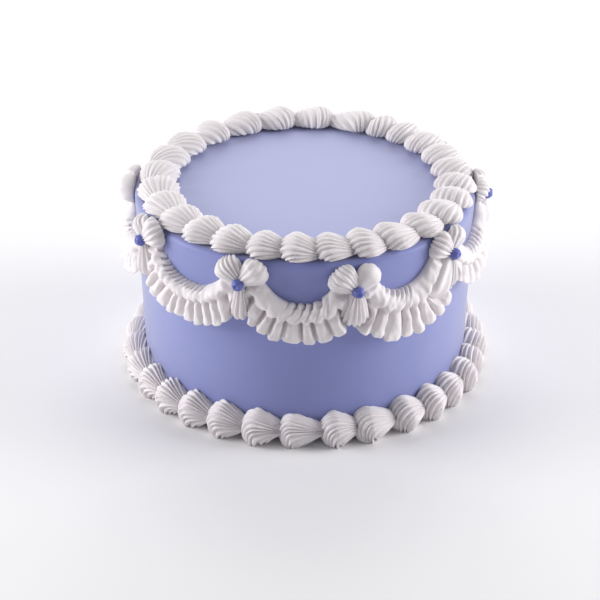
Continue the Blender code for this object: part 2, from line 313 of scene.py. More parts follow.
SWAGS = (
    Swag(0.86, 0.92, 0.78, 0.60, 0.0026, -0.05, 0.80, 8.0),
    Swag(1.05, 0.83, 1.00, 1.00, 0.0046, 0.30, 0.92, 1.0),
    Swag(1.16, 1.22, 0.92, 0.80, 0.0033, 0.08, 0.60, 6.0),
    Swag(1.00, 0.80, 1.20, 0.50, 0.0042, 0.20, 0.80, 4.0),
    Swag(0.94, 0.96, 1.00, 0.80, 0.0036, 0.10, 0.70, 3.0),
    Swag(1.06, 0.98, 1.00, 1.00, 0.0046, 0.30, 0.90, 1.0),
    Swag(0.90, 0.94, 1.10, 0.70, 0.0030, 0.05, 0.75, 3.5),
    Swag(1.06, 0.94, 1.00, 1.00, 0.0044, 0.25, 0.85, 1.0),
    Swag(1.08, 1.08, 0.95, 0.90, 0.0034, 0.10, 0.70, 2.0),
    Swag(0.96, 0.90, 1.20, 0.40, 0.0040, 0.15, 0.85, 4.0),
)

# Scallops of the band: how their grooves slant, how sharp they are and how far they cut down and in
SCALLOP_SPREAD = 0.22
SCALLOP_MARGIN = 0.01
SCALLOP_START = 0.14
SCALLOP_SLANT = 0.0062
SCALLOP_SHARPNESS = 1.2
SCALLOP_DROP = 0.0020
SCALLOP_FRONT_FROM = 0.5
SCALLOP_FRONT_SHARE = 0.3
SCALLOP_DEPTH = 0.0015
WIDE_SCALLOP = 0.0046
SCALLOP_GROWTH = 0.4

# Pleats of the flounce: their grooves, the tilt and swell of their faces, and the notches in the hem
PLEAT_SPREAD = 0.24
PLEAT_DEPTHS = (0.45, 1.2)
PLEAT_GROOVE = 0.15
PLEAT_GROOVE_LOSS = 0.03
PLEAT_GROOVE_FROM = 0.2
PLEAT_TILT = 0.0009
PLEAT_SWELL = 0.0008
SHALLOW_PLEAT_SWELL = 0.0016
HEM_FROM = 0.4
HEM_NOTCH = 0.0013
HEM_DROP = 0.0008

# Unevenness over a garland: how far it stands out, its scales along and up the wall, and a layer of noise
GARLAND_SWELL = (0.0007, 160.0, 160.0, 0.0)
GARLAND_CRUMPLE = (0.0006, 420.0, 300.0, 9.0)
BAND_SWELL = (0.0012, 90.0, 90.0, 4.0)

# Under a flower the garland is thin. Edges are distances at which the thinning starts and is whole
UNDER_PETALS = 0.0026
BEAD_EDGE = (0.0052, 0.0036)
PETAL_EDGE = (0.0014, -0.0012)

# Finishes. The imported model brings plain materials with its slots' names, so these have their own names
LILAC_ICING = "smooth_lilac_icing"
WHITE_ICING = "piped_white_icing"
BLUE_ICING = "bead_icing"
PIPING_ROUGHNESS = 0.46
BEAD_ROUGHNESS = 0.42
WALL_ROUGHNESS = 0.44
CLOUDY_ROUGHNESS = 0.12
SOFT_COLOURS = (1.0, 0.85, 0.75)
BUMP_HEIGHT = 0.0004

# Stage
FLOOR_HALF = 3.0
FLOOR_ROUGHNESS = 0.9
LIGHT_AIM = (0.0, 0.0, 0.05)
LIGHTS = (("left_light", (-1.05, -0.05, 0.40), 0.7, "side_light"),
          ("right_light", (1.05, -0.05, 0.40), 0.7, "side_light"),
          ("back_light", (0.0, 1.20, 0.66), 1.5, "back_light"),
          ("top_light", (0.0, 0.55, 1.15), 0.8, "top_light"))
ROOM_COLOUR = (0.96, 0.97, 1.0)
ROOM_LIGHT = 0.28
CAMERA_AIM_HEIGHT = 0.05
SENSOR_WIDTH = 36.0
LENS = 111.97
LENS_SHIFT = (-0.00833, -0.06167)


def wall_radius(z):
    """Radius of the leaning wall at the height z."""
    return FOOT_RADIUS + (TOP_RADIUS - FOOT_RADIUS) * z / CAKE_HEIGHT


def round_cake(angle, radius, z):
    """Point at an angle in radians from the front."""
    return Vector((radius * math.sin(angle), -radius * math.cos(angle), z))


def on_wall(angle, z, right, up, out):
    """Point on the wall, placed from a centre by distances to the right, upwards and outwards."""
    return round_cake(angle + right / TOP_RADIUS, wall_radius(z + up) + out, z + up)


def ease(value, low, high):
    """Smooth step from 0 at low to 1 at high."""
    share = max(0.0, min(1.0, (value - low) / (high - low)))
    return share * share * (3.0 - 2.0 * share)


def uneven(draw, spread):
    """A random number up to the spread either way."""
    return draw.uniform(-spread, spread)


def add_piece(name, data, material, slot, *nodes):
    """Turns a bmesh, whose forms all face the same way, into a smooth piece that stands for CAD nodes."""
    data.normal_update()
    if data.calc_volume(signed=True) < 0.0:
        bmesh.ops.reverse_faces(data, faces=data.faces)
    mesh = bpy.data.meshes.new(name)
    data.to_mesh(mesh)
    data.free()
    mesh.shade_smooth()
    mesh.materials.append(material)
    piece = bpy.data.objects.new(name, mesh)
    bpy.context.scene.collection.objects.link(piece)
    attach(piece, "root")
    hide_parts(*nodes)


class Shade:
    """A material's node tree and one of its sockets, so that Python maths on it adds Math nodes."""

    def __init__(self, tree, socket=None):
        self.tree = tree
        self.socket = socket

    def make(self, kind, settings, values, output=0):
        """Adds a node of any other type, and wraps one of its outputs."""
        node = self.tree.nodes.new(kind)
        for name, value in settings.items():
            setattr(node, name, value)
        for name, value in values.items():
            if isinstance(value, Shade):
                self.tree.links.new(value.socket, node.inputs[name])
            else:
                node.inputs[name].default_value = value
        return Shade(self.tree, node.outputs[output])

    def maths(self, operation, first, second):
        return self.make("ShaderNodeMath", {"operation": operation}, {0: first, 1: second})

    def __add__(self, other):
        return self.maths("ADD", self, other)

    def __radd__(self, other):
        return self.maths("ADD", other, self)

    def __mul__(self, other):
        return self.maths("MULTIPLY", self, other)

    def __rmul__(self, other):
        return self.maths("MULTIPLY", other, self)


def new_material(name, soft_depth, soft_share, sheen):
    """A material with a fresh shader, its node tree as a Shade, and the shader itself."""
    material = bpy.data.materials.new(name)
    material.use_nodes = True
    shader = material.node_tree.nodes["Principled BSDF"]
    shader.inputs["Subsurface Weight"].default_value = soft_share
    shader.inputs["Subsurface Scale"].default_value = soft_depth
    shader.inputs["Subsurface Radius"].default_value = SOFT_COLOURS
    shader.inputs["Sheen Weight"].default_value = sheen
    shader.inputs["Sheen Roughness"].default_value = 0.5
    return material, Shade(material.node_tree), shader


def icing_noise(shade, place, scale, detail):
    """Soft even noise of one size."""
    return shade.make("ShaderNodeTexNoise", {}, {"Vector": place, "Scale": scale, "Detail": detail})


def cloudy(shade, cloud, colour, darkest, lightest):
    """The colour with a cloud over it, from its darkest share to its lightest."""
    dark = [darkest * part for part in colour]
    light = [min(1.0, lightest * part) for part in colour]
    values = {0: cloud, 6: (*dark, 1.0), 7: (*light, 1.0)}
    return shade.make("ShaderNodeMix", {"data_type": "RGBA"}, values, output=2)


def scraper_marks(shade, place):
    """Faint lines round the wall, left by the scraper."""
    flat = shade.make("ShaderNodeMapping", {}, {"Vector": place, "Scale": (22.0, 22.0, 420.0)})
    return icing_noise(shade, flat, scale=1.0, detail=2.0)


def pits(shade, place):
    """A few small pits, where air bubbles were."""
    cells = shade.make("ShaderNodeTexVoronoi", {"feature": "F1"}, {"Vector": place, "Scale": 260.0})
    depth = shade.make("ShaderNodeMapRange", {},
                       {"Value": cells, "From Min": 0.0, "From Max": 0.16, "To Min": -1.0, "To Max": 0.0})
    patches = icing_noise(shade, place, scale=95.0, detail=0.0)
    few = shade.make("ShaderNodeMapRange", {}, {"Value": patches, "From Min": 0.60, "From Max": 0.66})
    return depth * few


def finish_icing(shade, shader, colour, roughness, height, strength):
    """Plugs a varying colour, roughness and surface into the shader."""
    links = shade.tree.links
    values = {"Height": height, "Strength": strength, "Distance": BUMP_HEIGHT}
    bump = shade.make("ShaderNodeBump", {}, values)
    links.new(colour.socket, shader.inputs["Base Color"])
    links.new(roughness.socket, shader.inputs["Roughness"])
    links.new(bump.socket, shader.inputs["Normal"])


def wall_icing(colour):
    """Smoothed buttercream: faint scraper marks round the wall, small pits and a little cloudiness."""
    material, shade, shader = new_material(LILAC_ICING, soft_depth=0.003, soft_share=0.12, sheen=0.8)
    place = shade.make("ShaderNodeTexCoord", {}, {}, "Object")
    cloud = icing_noise(shade, place, scale=38.0, detail=3.0)
    colours = cloudy(shade, cloud, colour, darkest=0.955, lightest=1.045)
    grain = icing_noise(shade, place, scale=900.0, detail=2.0)
    height = scraper_marks(shade, place) * 0.5 + grain * 0.10 + pits(shade, place) * 0.5
    finish_icing(shade, shader, colours, WALL_ROUGHNESS + cloud * CLOUDY_ROUGHNESS, height, strength=0.35)
    return material


def piped_icing(name, colour, roughness):
    """Piped buttercream: fine grain, small lumps and a slightly uneven sheen."""
    material, shade, shader = new_material(name, soft_depth=0.004, soft_share=0.22, sheen=0.0)
    place = shade.make("ShaderNodeTexCoord", {}, {}, "Object")
    cloud = icing_noise(shade, place, scale=60.0, detail=3.0)
    colours = cloudy(shade, cloud, colour, darkest=0.96, lightest=1.03)
    grain = icing_noise(shade, place, scale=1400.0, detail=3.0)
    lumps = icing_noise(shade, place, scale=320.0, detail=2.0)
    height = grain * 0.35 + lumps * 0.65
    finish_icing(shade, shader, colours, roughness + cloud * CLOUDY_ROUGHNESS, height, strength=0.45)
    return material


def white_icing(context):
    """The piped white icing, mixed when the first piece needs it."""
    mixed = bpy.data.materials.get(WHITE_ICING)
    if mixed is None:
        mixed = piped_icing(WHITE_ICING, context.scene.shell_borders.piping_colour, PIPING_ROUGHNESS)
    return mixed


def cake_outline(rim):
    """Half the cake's cut from the middle of the foot, up the wall and round the rim to the middle."""
    outline = [(0.0, 0.0), (FOOT_RADIUS * 0.5, 0.0), (FOOT_RADIUS - FOOT_BEVEL, 0.0),
               (FOOT_RADIUS, FOOT_BEVEL)]
    top_wall = CAKE_HEIGHT - rim
    for step in range(1, WALL_STEPS):
        z = FOOT_BEVEL + (top_wall - FOOT_BEVEL) * step / WALL_STEPS
        outline.append((wall_radius(z), z))
    for step in range(RIM_STEPS + 1):
        turn = math.pi / 2.0 * step / RIM_STEPS
        outline.append((TOP_RADIUS - rim + rim * math.cos(turn), top_wall + rim * math.sin(turn)))
    for step in range(1, TOP_STEPS):
        outline.append(((TOP_RADIUS - rim) * (1.0 - step / TOP_STEPS), CAKE_HEIGHT))
    outline.append((0.0, CAKE_HEIGHT))
    return outline


def iced_cake(settings):
    """The smooth iced body as a spun outline with a soft rim, a little uneven above its flat foot."""
    data = bmesh.new()
    verts = [data.verts.new((radius, 0.0, z)) for radius, z in cake_outline(settings.rim_round)]
    edges = [data.edges.new(pair) for pair in zip(verts, verts[1:])]
    bmesh.ops.spin(data, geom=verts + edges, cent=(0.0, 0.0, 0.0), axis=(0.0, 0.0, 1.0),
                   steps=ROUND_STEPS, angle=2.0 * math.pi, use_merge=True)
    bmesh.ops.remove_doubles(data, verts=data.verts, dist=SAME_PLACE)
    bmesh.ops.recalc_face_normals(data, faces=data.faces)
    for vert in data.verts:
        radius = math.hypot(vert.co.x, vert.co.y)
        if vert.co.z < FLAT_FOOT or radius < SAME_PLACE:
            continue
        dip = abs(noise.noise(vert.co * DIP_SCALE) * settings.unevenness)
        if vert.co.z > CAKE_HEIGHT - SAME_LEVEL:
            vert.co.z -= dip * TOP_DIP_SHARE
        else:
            vert.co.x *= 1.0 - dip / radius
            vert.co.y *= 1.0 - dip / radius
    return data


def shell_edges(known, count):
    """Left edges of all shells: the known ones, then even steps round to the first again."""
    missing = count - len(known)
    step = (known[0] + 360.0 - known[-1]) / (missing + 1)
    return (*known, *(known[-1] + step * (index + 1) for index in range(missing)))


def edge_pairs(edges):
    """Each shell's left edge with the next one's, round to the first again."""
    return zip(edges, (*edges[1:], edges[0] + 360.0))


def add_ball(data, segments, rows, mirrored=False):
    """Adds a ball with its poles along Z to the bmesh and returns its vertices.

    A ball whose points are mirrored afterwards starts inside out, so that its faces end pointing outwards.
    """
    ball = bmesh.new()
    bmesh.ops.create_uvsphere(ball, u_segments=segments, v_segments=rows, radius=1.0)
    if mirrored:
        bmesh.ops.reverse_faces(ball, faces=ball.faces)
    mesh = bpy.data.meshes.new("ball")
    ball.to_mesh(mesh)
    ball.free()
    present = len(data.verts)
    data.from_mesh(mesh)
    bpy.data.meshes.remove(mesh)
    data.verts.ensure_lookup_table()
    return data.verts[present:]


def rib_height(place, polar, waves):
    """Height from 0 in a groove to 1 on a rib's crest, at a place counted in ribs."""
    waver = (WAVER_ACROSS[0] * math.sin(WAVER_ACROSS[1] * place + waves[0])
             + WAVER_ALONG[0] * math.sin(WAVER_ALONG[1] * polar + waves[1]))
    return abs(math.sin(math.pi * (place + waver))) ** RIB_SHARPNESS


def stretched(shell, ball_point, depth):
    """Takes a point of the ball to the shell's sizes, tapered towards the tail."""
    along, across, above = ball_point.x * depth, ball_point.y * depth, ball_point.z * depth
    past = max(0.0, along)
    lift = shell.tail_lift * past * past * ease(ball_point.z, *TAIL_LIFT_PART)
    rise = shell.rise * (1.0 - shell.height_taper * past)
    across *= (1.0 - shell.width_taper * past) * shell.half_width
    if above < 0.0:
        above *= (1.0 - shell.under_taper * past) * shell.under
    else:
        above *= (1.0 - shell.height_taper * past) * (shell.height - shell.rise)
        above *= 1.0 - shell.hollow * math.exp(-(ball_point.y / HOLLOW_WIDTH) ** 2)
    along *= shell.head if along < 0.0 else shell.tail
    return along, across, above + rise + lift


def shell_points(data, shell, draw):
    """Adds a ribbed ball to the bmesh and yields each vertex with its place along, across and above."""
    ribbed = shell.ribs * shell.columns
    segments = ribbed + PLAIN_COLUMNS
    first, last = math.radians(shell.first_rib), math.radians(shell.last_rib)
    head_dip, tail_dip = math.radians(shell.head_dip), math.radians(shell.tail_dip)
    lean = math.radians(shell.lean)
    axis = Vector((0.0, math.cos(lean), math.sin(lean)))
    turned = Matrix.Rotation(math.radians(shell.yaw), 3, "Z")
    span = last - first
    waves = [draw.uniform(0.0, 2.0 * math.pi) for _ in range(3)]
    swirl = draw.uniform(*SWIRLS)
    offset = draw.uniform(0.0, 30.0)
    for vert in add_ball(data, segments, shell.rows, mirrored=True):
        turn = (math.atan2(vert.co.y, vert.co.x) / (2.0 * math.pi)) % 1.0
        column = round(turn * segments) % segments
        polar = math.acos(max(-1.0, min(1.0, vert.co.z)))
        if column <= ribbed:
            around = first + span * column / ribbed
            rib = rib_height(column / shell.columns, polar, waves)
        else:
            around = last + (2.0 * math.pi - span) * (column - ribbed) / PLAIN_COLUMNS
            rib = PLAIN_RIB
        around += swirl * polar
        point = Vector((-math.cos(polar), math.sin(polar) * math.cos(around),
                        math.sin(polar) * math.sin(around)))
        dip = head_dip - (head_dip + tail_dip) * polar / math.pi
        point = turned @ Matrix.Rotation(-dip, 3, axis) @ point
        groove = shell.rib_depth * (1.0 - rib) * ease(math.sin(polar), *POLE_FADE)
        depth = 1.0 - groove * (1.0 - RIB_TAIL_LOSS * max(0.0, point.x))
        depth += SHELL_LUMPS[0] * noise.noise(point * SHELL_LUMPS[1] + Vector((offset, 0.0, 0.0)))
        depth += SHELL_SPECKS[0] * noise.noise(point * SHELL_SPECKS[1] + Vector((offset, 5.0, 0.0)))
        yield vert, *stretched(shell, point, depth)


def by_place(values, back, left):
    """A value at the front, with what is added at the back and on the left."""
    return values[0] + values[1] * back + values[2] * left


def top_shells(settings):
    """The ring of shells on the top edge, each head over the tail before it."""
    data = bmesh.new()
    draw = random.Random(TOP_SEED)
    for edge, following in edge_pairs(TOP_SHELL_EDGES):
        middle = math.radians(0.5 * (edge + following))
        front = ease(math.cos(middle), *FRONT_PART)
        back = ease(-math.cos(middle), *BACK_PART)
        left = ease(-math.sin(middle), *SIDE_PART)
        side = ease(abs(math.sin(middle)), *SIDE_PART)
        length = math.radians(following - edge) * TOP_RING_RADIUS
        size = 1.0 + uneven(draw, TOP_SIZE_SPREAD)
        head = TOP_HEAD * size
        shell = Shell(
            head=head, tail=length - head + TOP_TAIL_LAP - TOP_BACK_SHORTER * back,
            half_width=TOP_HALF_WIDTH * size, height=TOP_SHELL_HEIGHT * size, under=TOP_RISE, rise=TOP_RISE,
            ribs=settings.top_ribs, rib_depth=settings.rib_depth * (1.0 - SIDE_RIB_LOSS * side),
            first_rib=TOP_RIBS_FROM, last_rib=TOP_RIBS_TO, columns=TOP_COLUMNS, rows=TOP_ROWS,
            yaw=by_place(TOP_YAW, back, left) + uneven(draw, TOP_YAW_SPREAD),
            lean=by_place(TOP_LEAN, back, left) + uneven(draw, TOP_LEAN_SPREAD),
            head_dip=by_place(TOP_HEAD_DIP, back, left) + uneven(draw, TOP_DIP_SPREAD),
            tail_dip=TOP_TAIL_DIP, width_taper=by_place(TOP_WIDTH_TAPER, back, left),
            height_taper=by_place(TOP_HEIGHT_TAPER, back, left))
        centre = math.radians(edge) + (head - TOP_HEAD_LAP) / TOP_RING_RADIUS
        for vert, along, across, above in shell_points(data, shell, draw):
            overhang = 1.0 + FRONT_OVERHANG * front * ease(across, 0.0, OVERHANG_WIDTH)
            radius = TOP_RING_RADIUS + across * overhang
            sag = (RIM_SAG - FRONT_SAG_LOSS * front) * ease(radius, TOP_RADIUS - RIM_SAG_WIDTH, TOP_RADIUS)
            z = CAKE_HEIGHT + max(above, -TOP_PRESSED) - sag
            vert.co = round_cake(centre + along / TOP_RING_RADIUS, radius, z)
            vert.co.x += TOP_RING_SHIFT
    return data


def foot_shells(settings):
    """The ring of shells in the corner of wall and table."""
    data = bmesh.new()
    draw = random.Random(FOOT_SEED)
    edges = shell_edges(FOOT_SHELL_EDGES, FOOT_SHELLS)
    for index, (edge, following) in enumerate(edge_pairs(edges)):
        length = math.radians(following - edge) * FOOT_RING_RADIUS
        size = draw.uniform(*FOOT_SIZES) * LOW_FOOT_SHELLS.get(index, 1.0)
        head = FOOT_HEAD * size
        shell = Shell(
            head=head, tail=length - head + FOOT_TAIL_LAP, half_width=FOOT_HALF_WIDTH * size,
            height=FOOT_SHELL_HEIGHT * size, under=FOOT_UNDER, ribs=settings.foot_ribs,
            rib_depth=settings.rib_depth * FOOT_RIB_GAIN, first_rib=FOOT_RIBS_FROM, last_rib=FOOT_RIBS_TO,
            columns=FOOT_COLUMNS, yaw=draw.uniform(*FOOT_YAWS), lean=draw.uniform(*FOOT_LEANS),
            head_dip=draw.uniform(*FOOT_HEAD_DIPS), tail_dip=FOOT_TAIL_DIP, width_taper=FOOT_WIDTH_TAPER,
            height_taper=FOOT_HEIGHT_TAPER, under_taper=FOOT_UNDER_TAPER)
        centre = math.radians(edge) + head / FOOT_RING_RADIUS
        for vert, along, across, above in shell_points(data, shell, draw):
            z = max(0.0, FOOT_MIDDLE + above)
            radius = max(FOOT_RING_RADIUS + across, wall_radius(z) - FOOT_PRESSED)
            vert.co = round_cake(centre + along / FOOT_RING_RADIUS, radius, z)
    return data


def petal_leans(index):
    """Directions of a flower's lower, right and left petals in radians from straight up."""
    draw = random.Random(LEAN_SEED + index)
    right, lower, left = (uneven(draw, LEAN_SPREAD) for _ in range(3))
    return [math.radians(lean) for lean in (180.0 + lower, UPPER_LEAN + right, 360.0 - UPPER_LEAN + left)]


def petal_plan(settings, index):
    """A flower's lower, right and left petals, and its leaf if it has one."""
    lower = (settings.lower_reach, settings.lower_width / 2.0, LOWER_PETAL_HEIGHT)
    upper = (settings.upper_reach, settings.upper_width / 2.0, UPPER_PETAL_HEIGHT)
    usual = ((lower, LOWER_HEAD_SHARE), (upper, UPPER_HEAD_SHARE), (upper, UPPER_HEAD_SHARE))
    own = OWN_PETALS.get(index, USUAL_PETALS)
    plan = []
    for lean, (sizes, head_share), (*shares, ribs, rib_depth) in zip(petal_leans(index), usual, own):
        reach, half_width, height = (size * share for size, share in zip(sizes, shares))
        plan.append(Petal(lean, reach, half_width, height, ribs, rib_depth, head_share))
    if index == LEAF_FLOWER:
        plan.append(LEAF)
    return plan


def petals(settings, index):
    """The three ribbed petals of a flower, their tails meeting on a mound of icing."""
    data = bmesh.new()
    draw = random.Random(PETAL_SEED + index)
    angle, z = math.radians(FLOWERS[index][0]), FLOWERS[index][1]
    for petal in petal_plan(settings, index):
        head = petal.head_share * petal.reach
        middle = petal.reach - head
        shell = Shell(
            head=head, tail=middle + PETAL_TAIL_PAST, half_width=petal.half_width, height=petal.height,
            under=PETAL_RISE, rise=PETAL_RISE, ribs=petal.ribs, rib_depth=petal.rib_depth, first_rib=0.0,
            last_rib=180.0, yaw=0.0, lean=uneven(draw, PETAL_LEAN_SPREAD), head_dip=PETAL_HEAD_DIP,
            tail_dip=PETAL_TAIL_DIP, width_taper=PETAL_WIDTH_TAPER, height_taper=PETAL_HEIGHT_TAPER,
            tail_lift=PETAL_TAIL_LIFT, hollow=petal.hollow)
        for vert, along, across, above in shell_points(data, shell, draw):
            distance = middle - along
            right = math.sin(petal.lean) * distance + math.cos(petal.lean) * across
            up = math.cos(petal.lean) * distance - math.sin(petal.lean) * across
            vert.co = on_wall(angle, z, right, up, max(above, -PETAL_PRESSED))
    for vert in add_ball(data, segments=24, rows=14):
        out = MOUND_HEIGHT * (vert.co.z if vert.co.z > 0.0 else MOUND_UNDER * vert.co.z)
        vert.co = on_wall(angle, z, MOUND_RADIUS * vert.co.x, MOUND_RADIUS * vert.co.y, out)
    return data


def bead(settings, index):
    """The bead of icing in a flower's middle, slightly lumpy, with a small dent."""
    data = bmesh.new()
    draw = random.Random(BEAD_SEED + index)
    angle, z = math.radians(FLOWERS[index][0]), FLOWERS[index][1]
    bmesh.ops.create_uvsphere(data, u_segments=32, v_segments=20, radius=1.0)
    radius = settings.bead_width / 2.0
    aside = uneven(draw, DENT_SPREAD)
    for vert in data.verts:
        point = vert.co.copy()
        dent = 0.0
        if point.z > 0.0:
            away = math.hypot(point.x - aside, point.y - DENT_UP)
            dent = DENT_DEPTH * math.exp(-(away / DENT_WIDTH) ** 2)
            dent -= LIP_HEIGHT * math.exp(-((away - LIP_RADIUS) / LIP_WIDTH) ** 2)
        lump = 1.0 + BEAD_LUMP * noise.noise(point * BEAD_LUMP_SCALE + Vector((index * 3.0, 0.0, 0.0)))
        out = BEAD_TOP - radius * BEAD_SEAT + (point.z - dent) * radius * lump
        vert.co = on_wall(angle, z, point.x * radius * lump, point.y * radius * lump, out)
    return data


def smooth_between(a, b, c, d, share):
    """Value on a smooth curve through four even steps, at a share of the way from b to c."""
    return 0.5 * ((2.0 * b) + (c - a) * share + (2.0 * a - 5.0 * b + 4.0 * c - d) * share ** 2
                  + (3.0 * b - a - 3.0 * c + d) * share ** 3)


def smooth_cut(points, steps):
    """Smooth open curve through the points of a cut, with their other values carried along."""
    made = []
    last = len(points) - 1
    for index in range(last):
        near = (points[max(0, index - 1)], points[index], points[index + 1], points[min(last, index + 2)])
        for step in range(steps):
            made.append([smooth_between(*values, step / steps) for values in zip(*near)])
    made.append(list(points[last]))
    return made


def fold_marks(length, pitch, draw, spread):
    """Places of the grooves along a garland, unevenly spaced."""
    marks = [-0.5 * pitch]
    while marks[-1] < length + pitch:
        marks.append(marks[-1] + pitch * (1.0 + uneven(draw, spread)))
    return marks


def fold_phase(marks, place):
    """Number of the fold at a place and the share of the way through it."""
    for index in range(len(marks) - 1):
        if place < marks[index + 1]:
            return index, (place - marks[index]) / (marks[index + 1] - marks[index])
    return len(marks) - 2, 1.0


class Ruffle:
    """The scallops of one garland's band and the pleats of its flounce."""

    def __init__(self, settings, swag, length, draw):
        self.swag = swag
        self.pleats = fold_marks(length, settings.pleat_width * swag.pleat_width, draw, PLEAT_SPREAD)
        self.scallops = fold_marks(length + SCALLOP_MARGIN, swag.scallop_width, draw, SCALLOP_SPREAD)
        self.tilts = [draw.uniform(-1.0, 1.0) for _ in self.pleats]
        self.drops = [draw.uniform(-1.0, 1.0) for _ in self.pleats]
        self.depths = [draw.uniform(*PLEAT_DEPTHS) for _ in self.pleats]
        self.pleat_depth = settings.pleat_depth * swag.pleat_depth
        self.swell = PLEAT_SWELL + SHALLOW_PLEAT_SWELL * (1.0 - swag.pleat_depth)
        self.scallop_size = min(1.0, swag.scallop_width / WIDE_SCALLOP) ** SCALLOP_GROWTH

    def scallop(self, above, out, share, place, cut):
        """Takes a point down and in where it lies between two scallops of the band."""
        height, depth, shown, _ = cut
        swag = self.swag
        inside = (ease(share, swag.scallops_from, swag.scallops_from + SCALLOP_START)
                  * ease(share, swag.scallops_to, swag.scallops_to - SCALLOP_START))
        slant = SCALLOP_SLANT * max(0.0, height)
        _, way = fold_phase(self.scallops, place - slant + SCALLOP_SLANT)
        dent = max(0.0, 1.0 - abs(math.sin(math.pi * way))) ** SCALLOP_SHARPNESS * inside
        shown = max(0.0, shown) ** swag.scallop_fade
        front = 1.0 if depth < SCALLOP_FRONT_FROM else SCALLOP_FRONT_SHARE
        above -= SCALLOP_DROP * self.scallop_size * shown * dent * front
        out -= SCALLOP_DEPTH * self.scallop_size * shown * dent
        return above, out

    def pleat(self, above, out, place, cut):
        """Takes a point in where it lies between two pleats of the flounce, and up or down at the hem."""
        height, _, _, shown = cut
        number, way = fold_phase(self.pleats, place)
        near = min(way, 1.0 - way)
        width = PLEAT_GROOVE + PLEAT_GROOVE_LOSS * min(0.0, height + PLEAT_GROOVE_FROM)
        groove = math.exp(-(near / width) ** 2) * self.depths[number]
        crown = 4.0 * way * (1.0 - way)
        out -= self.pleat_depth * max(0.0, shown) * groove
        out += shown * (PLEAT_TILT * self.tilts[number] * (way - 0.5) + self.swell * (crown - 1.0))
        if height < -HEM_FROM:
            down = (-height - HEM_FROM) / (1.0 - HEM_FROM)
            above += down * (HEM_NOTCH * self.swag.pleat_depth * groove - HEM_DROP * self.drops[number])
        return above, out


def garland_crease(share, start_z, end_z):
    """Height of the crease between band and flounce along the garland."""
    sag = GARLAND_DROP + GARLAND_SAG * (1.0 - abs(2.0 * share - 1.0) ** GARLAND_SAG_POWER)
    return start_z + (end_z - start_z) * share - sag


def garland_lump(lumps, right, z, offset):
    """How far an uneven garland stands out at a place on the wall."""
    out, along_scale, up_scale, layer = lumps
    return out * noise.noise(Vector((right * along_scale, z * up_scale, layer)) + offset)


def petal_cover(plan, right, up):
    """How much a flower's petals cover a place on the wall near its bead, from 0 to 1."""
    distance = math.hypot(right, up)
    cover = ease(distance, *BEAD_EDGE)
    turn = math.atan2(right, up)
    for petal in plan:
        offset = (turn - petal.lean + math.pi) % (2.0 * math.pi) - math.pi
        middle = petal.reach - petal.half_width
        aside = middle * math.sin(offset)
        if abs(offset) < math.pi / 2.0 and abs(aside) < petal.half_width:
            edge = middle * math.cos(offset) + math.sqrt(petal.half_width ** 2 - aside ** 2)
            cover = max(cover, ease(distance, edge + PETAL_EDGE[0], edge + PETAL_EDGE[1]))
    return cover


def garland_tube(corners, stations):
    """A closed tube along Z with so many corners round it and steps along it."""
    data = bmesh.new()
    bmesh.ops.create_cone(data, cap_ends=True, segments=corners, radius1=1.0, radius2=1.0, depth=1.0)
    lengthways = [edge for edge in data.edges if abs(edge.verts[0].co.z - edge.verts[1].co.z) > 0.5]
    bmesh.ops.subdivide_edges(data, edges=lengthways, cuts=stations - 1)
    return data


def garland(settings, flower_settings, index):
    """A ruffled swag: a band with a scalloped edge over a flounce of box pleats."""
    draw = random.Random(GARLAND_SEED + index)
    swag = SWAGS[index]
    following = (index + 1) % len(FLOWERS)
    start, start_z = FLOWERS[index]
    end, end_z = FLOWERS[following]
    if end < start:
        end += 360.0
    gap = GARLAND_END_GAP / TOP_RADIUS
    start_angle = math.radians(start) + gap
    length = (math.radians(end) - gap - start_angle) * TOP_RADIUS
    ruffle = Ruffle(settings, swag, length, draw)
    band = settings.band_width * swag.band
    flounce = settings.flounce_width * swag.flounce
    covers = ((petal_plan(flower_settings, index), math.radians(start), start_z),
              (petal_plan(flower_settings, following), math.radians(end), end_z))
    cuts = smooth_cut(GARLAND_CUT, GARLAND_CUT_STEPS)
    corners = len(cuts)
    data = garland_tube(corners, round(length / settings.pleat_width * STEPS_PER_PLEAT))
    offset = Vector((index * 7.3, 0.0, 0.0))
    for vert in data.verts:
        share = vert.co.z + 0.5
        turn = (math.atan2(vert.co.y, vert.co.x) / (2.0 * math.pi) - 0.25) % 1.0
        cut = cuts[round(turn * corners) % corners]
        height, depth = cut[:2]
        place = length * share
        full = ease(min(place, length - place), 0.0, GARLAND_END_LENGTH)
        thick = settings.garland_depth * (GARLAND_END_DEPTH + (1.0 - GARLAND_END_DEPTH) * full)
        above = height * band if height > 0.0 else height * flounce
        above, out = ruffle.scallop(above, depth * thick, share, place, cut)
        above, out = ruffle.pleat(above, out, place, cut)
        tilt = math.radians(GARLAND_FAN) * math.cos(math.pi * share)
        z = garland_crease(share, start_z, end_z) + above * math.cos(tilt)
        right = place + above * math.sin(tilt)
        angle = start_angle + right / TOP_RADIUS
        if out > 0.0:
            out += garland_lump(GARLAND_SWELL, right, z, offset)
            out += garland_lump(GARLAND_CRUMPLE, right, z, offset)
            out += max(0.0, height) * garland_lump(BAND_SWELL, right, z, offset)
            for plan, centre, centre_z in covers:
                cover = petal_cover(plan, (angle - centre) * TOP_RADIUS, z - centre_z)
                out += (min(out, UNDER_PETALS) - out) * cover
        vert.co = round_cake(angle, wall_radius(z) + out, z)
    return data


